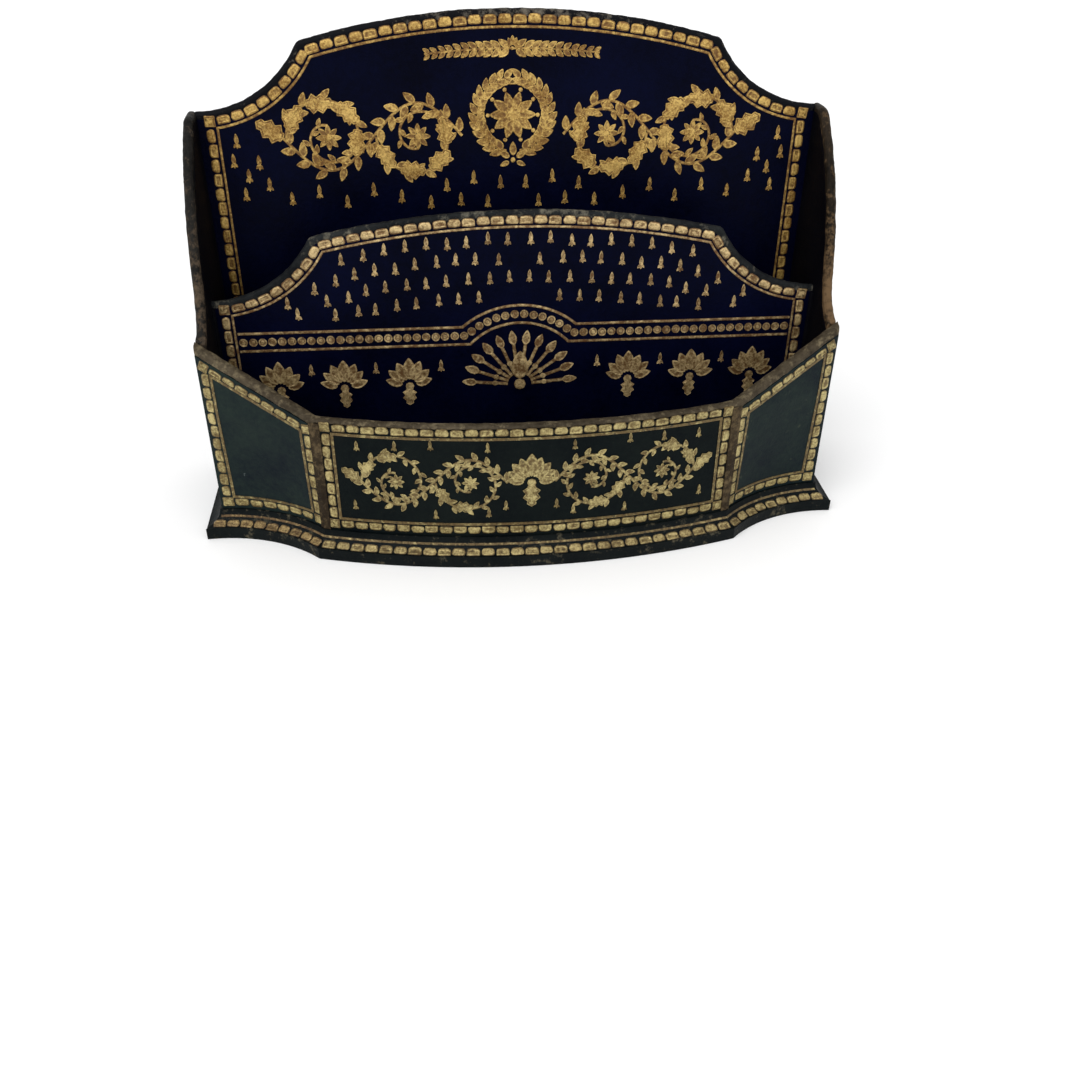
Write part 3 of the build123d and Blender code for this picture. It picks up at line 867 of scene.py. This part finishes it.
def scroll(sheet, first, middle, half_wave, count, size, broad=4):
    """A running scroll to the right: each half wave of its stem sends a branch curling in on a rosette,
    with so many broad leaves."""
    steps = 24
    wave = 0.36 * half_wave
    stem = [Vector((first + half_wave * k / steps, middle + wave * math.sin(math.pi * k / steps)))
            for k in range(count * steps + 1)]
    ribbon(sheet, stem, 0.0013)
    foliage(sheet, stem, leaf_pitch * size, size)
    for number in range(count):
        over = (1, -1)[number % 2]
        centre = Vector((first + (number + 0.5) * half_wave, middle))
        branch = curl(centre, 0.47 * half_wave, 0.13 * half_wave, 0, -over * 2.5 * math.pi)
        ribbon(sheet, branch, 0.0012)
        foliage(sheet, branch, 0.0042 * size, size, last=0.55)
        for spot, turn in list(along_path(branch, 0.10 * half_wave, 0.36 * half_wave))[:broad]:
            strike(sheet, ragged_tool, spot, turn - over * 0.35, 0.92 * size)
        rosette(sheet, centre, 0.95 * size)
    strike(sheet, ragged_tool, stem[-1], (-1) ** count * 0.6, size)


def doubled(sheet):
    """The right half's prints again on the left, mirrored."""
    copied = bmesh.ops.duplicate(sheet, geom=sheet.verts[:] + sheet.edges[:] + sheet.faces[:])["geom"]
    verts = [item for item in copied if isinstance(item, bmesh.types.BMVert)]
    faces = [item for item in copied if isinstance(item, bmesh.types.BMFace)]
    bmesh.ops.scale(sheet, vec=(-1, 1, 1), verts=verts)
    bmesh.ops.reverse_faces(sheet, faces=faces)


def crest_height(x, apex, drop):
    """Height of a crested board's outline over x."""
    arch_radius = (shoulder ** 2 + drop ** 2) / (2 * drop)
    if abs(x) < shoulder:
        return apex - arch_radius + math.sqrt(arch_radius ** 2 - x ** 2)
    scoop_foot = apex - drop - scoop_rise
    return scoop_foot + scoop_radius - math.sqrt(scoop_radius ** 2 - (board_end - abs(x)) ** 2)


wreath, wreath_radius, dot_radius = Vector((0, 0.1815)), 0.0165, 0.0118
garland_under = 0.0165
sheet = bmesh.new()
scroll(sheet, 0.0240, 0.1725, 0.0415, 2, 1.15)
branch = arc(wreath, wreath_radius, -0.44 * math.pi, 0.44 * math.pi, 0.002)
ribbon(sheet, branch, 0.0010)
foliage(sheet, branch, leaf_pitch, 1.1, 0.55, True, 0.85)
for number in range(5):
    turn = math.pi * (number + 0.5) / 5 - math.pi / 2
    strike(sheet, dot_tool, wreath + Vector((math.cos(turn), math.sin(turn))) * dot_radius, 0)
garland = [Vector((x / 1000, crest_height(x / 1000, *back_crest) - garland_under)) for x in range(0, 41, 2)]
foliage(sheet, garland, leaf_pitch, 0.95, 0.6, True, 0.6)
ribbon(sheet, garland, 0.0009)
for x, z in ((0.1195, 0.1600), (0.1285, 0.1700), (0.1250, 0.1540), (0.1310, 0.1610), (0.1160, 0.1500),
             (0.1275, 0.1455), (0.1060, 0.1430), (0.0930, 0.1460), (0.0800, 0.1410), (0.0670, 0.1465),
             (0.0540, 0.1430), (0.0060, 0.1490), (0.0190, 0.1515), (0.0320, 0.1480), (0.0125, 0.1400),
             (0.0255, 0.1410), (0.0400, 0.1400)):
    sprig(sheet, Vector((x, z)))
doubled(sheet)
rosette(sheet, wreath, 2.0, 10)
palmette(sheet, wreath + Vector((0, -0.0205)), 1.1, 5, 4.0)
palmette(sheet, Vector((0, crest_height(0, *back_crest) - garland_under)), 0.7)
gilt_piece("gilt_ornament_back", sheet, at_wall(back_face), ["back_panel_leather"])

# Ornament of the divider
# Sprigs sown in rows that follow the crest, a band of rings between two lines that arches
# over a fan of rays, and palmettes below the band. This gilding is the most browned.

band_low, band_high, fan_centre = 0.0825, 0.0915, Vector((0, 0.060))
arch_low, arch_high = 0.0330, 0.0420  # radii of the band's two lines over the fan
field_side = 0.1350


def band_line(height, radius):
    """The right half of one of the band's lines, from the middle of its arch outwards."""
    lean = math.asin((height - fan_centre.y) / radius)
    rising = arc(fan_centre, radius, math.pi / 2, lean)
    return rising + dense([rising[-1], Vector((field_side, height))])[1:]


divider_line = crest_path(*divider_crest, divider_beads + line_in, side_beads - line_in, floor_top)
first_row, row_apart, sprig_apart, sown_side = 0.0145, 0.0090, 0.0096, 0.128
off_line, off_band = 0.0052, 0.006  # what a sprig keeps clear of
sheet = bmesh.new()
for row in range(5):
    x = 0.0105 if row % 2 else 0.0052
    while x < sown_side:
        spot = Vector((x, crest_height(x, *divider_crest) - (first_row + row * row_apart)))
        spot += Vector((hand.uniform(-0.0010, 0.0010), hand.uniform(-0.0010, 0.0010)))
        clear = min((spot - near).length for near in divider_line) > off_line
        over_fan = (spot - fan_centre).length > arch_high + off_band
        if clear and over_fan and spot.y > band_high + off_band:
            sprig(sheet, spot, 0.95)
        x += sprig_apart
for height, radius in ((band_low, arch_low), (band_high, arch_high)):
    ribbon(sheet, band_line(height, radius), 0.0013)
ring_pitch = 0.0046
band_middle = band_line((band_low + band_high) / 2, (arch_low + arch_high) / 2)
for spot, turn in along_path(band_middle, ring_pitch / 2, ring_pitch):
    strike(sheet, ring_tool, spot, turn)
ray_start, ray_dot, ray_leaf, ray_end, ray_apart = 0.0060, 0.0125, 0.0215, 0.0220, 0.27
for number in range(6):
    turn = math.pi / 2 - (number + 0.5) * ray_apart
    ray = Vector((math.cos(turn), math.sin(turn)))
    ribbon(sheet, dense([fan_centre + ray * ray_start, fan_centre + ray * ray_end]), 0.0016)
    strike(sheet, leaf_tool, fan_centre + ray * ray_leaf, turn, 1.3)
    strike(sheet, dot_tool, fan_centre + ray * ray_dot, 0, 1.5)
palmette_foot, sprig_foot = 0.0610, 0.0700
for x in (0.055, 0.087, 0.118):
    palmette(sheet, Vector((x, palmette_foot)), 2.0)
    strike(sheet, ragged_tool, Vector((x, palmette_foot - 0.0010)), -math.pi / 2, 0.8)
for x in (0.0390, 0.0710, 0.1025):
    sprig(sheet, Vector((x, sprig_foot)), 0.95)
doubled(sheet)
strike(sheet, dot_tool, fan_centre, 0, 3.0)
strike(sheet, leaf_tool, fan_centre + Vector((0, 0.0030)), math.pi / 2, 2.6)
gilt_piece("gilt_ornament_divider", sheet, at_wall(divider_face), ["divider_panel_leather"], brown_gilt)

# Ornament of the bowed front
# A running scroll either side of a palmette, with sprigs above and below. All of it is
# rubbed by hands, and its gold is painted darker as painted shade.

scroll_middle = 0.0425
sheet = bmesh.new()
scroll(sheet, 0.011, scroll_middle, 0.0345, 2, 0.8, 2)
for x, z in ((0.012, 0.0290), (0.020, 0.0600), (0.046, 0.0610), (0.045, 0.0240), (0.0625, 0.0600),
             (0.0800, 0.0590), (0.0830, 0.0270), (0.0200, 0.0250)):
    sprig(sheet, Vector((x, z)), 0.8)
doubled(sheet)
palmette(sheet, Vector((0, 0.0420)), 2.0, 9, 2.8)
strike(sheet, ragged_tool, Vector((0, 0.0410)), -math.pi / 2, 1.0)
gilt_piece("gilt_ornament_front", sheet, at_bow, ["front_leather"], shaded_handled_gilt)

# The studio
# A white floor under one even sky, a broad sun from the left and above, and the camera
# at the height and angle of a hand-held picture.

world = bpy.data.worlds.new("studio")
bpy.context.scene.world = world
world.use_nodes = True
tree = world.node_tree
tree.nodes.clear()
rays = put(tree, "ShaderNodeLightPath").outputs
seen = sums(tree, "MAXIMUM", rays["Is Camera Ray"],
            sums(tree, "MAXIMUM", rays["Is Glossy Ray"], rays["Is Transmission Ray"]))
sky_strength = spread(tree, seen, 0, 1, 0.74, 1.0)
sky = put(tree, "ShaderNodeBackground", {"Color": (1, 1, 1, 1), "Strength": sky_strength})
put(tree, "ShaderNodeOutputWorld", {"Surface": sky.outputs[0]})

floor_finish = bpy.data.materials.new("floor")
floor_finish.use_nodes = True
shader = floor_finish.node_tree.nodes["Principled BSDF"]
shader.inputs["Base Color"].default_value = (1, 1, 1, 1)
shader.inputs["Roughness"].default_value = 0.9
shader.inputs["Specular IOR Level"].default_value = 0.0
floor_sheet = bmesh.new()
bmesh.ops.create_grid(floor_sheet, x_segments=1, y_segments=1, size=6)
floor = piece_from(floor_sheet, "floor", floor_finish)
floor.location.z = cad_box[0].z - 0.0002

for name, way, strength, width in (("sun_left", (0.55, 0.75, -1.2), 1.35, 50),
                                   ("sun_front", (-0.25, 0.9, -0.5), 0.55, 70)):
    lamp = bpy.data.objects.new(name, bpy.data.lights.new(name, "SUN"))
    lamp.data.energy, lamp.data.angle = strength, math.radians(width)
    lamp.rotation_mode = "QUATERNION"
    lamp.rotation_quaternion = Vector(way).to_track_quat("-Z", "Y")
    bpy.context.scene.collection.objects.link(lamp)

yaw, pitch, roll = math.radians(5.98), math.radians(34.32), math.radians(0.61)
ahead = Vector((math.sin(yaw) * math.cos(pitch), math.cos(yaw) * math.cos(pitch), -math.sin(pitch)))
across = Vector((math.cos(yaw), -math.sin(yaw), 0))
up = across.cross(ahead)
right = across * math.cos(roll) + up * math.sin(roll)
top = up * math.cos(roll) - across * math.sin(roll)
camera = bpy.data.objects.new("camera", bpy.data.cameras.new("camera"))
bpy.context.scene.collection.objects.link(camera)
turned = Matrix((right, top, -ahead)).transposed().to_4x4()
camera_spot = (-0.0409, -0.4809, 0.3054)
camera.matrix_world = Matrix.Translation(camera_spot) @ turned
camera.data.sensor_width, camera.data.lens = 36.0, 36.37
bpy.context.scene.camera = camera
bpy.context.scene.view_settings.view_transform = "Standard"

bpy.context.view_layer.update()
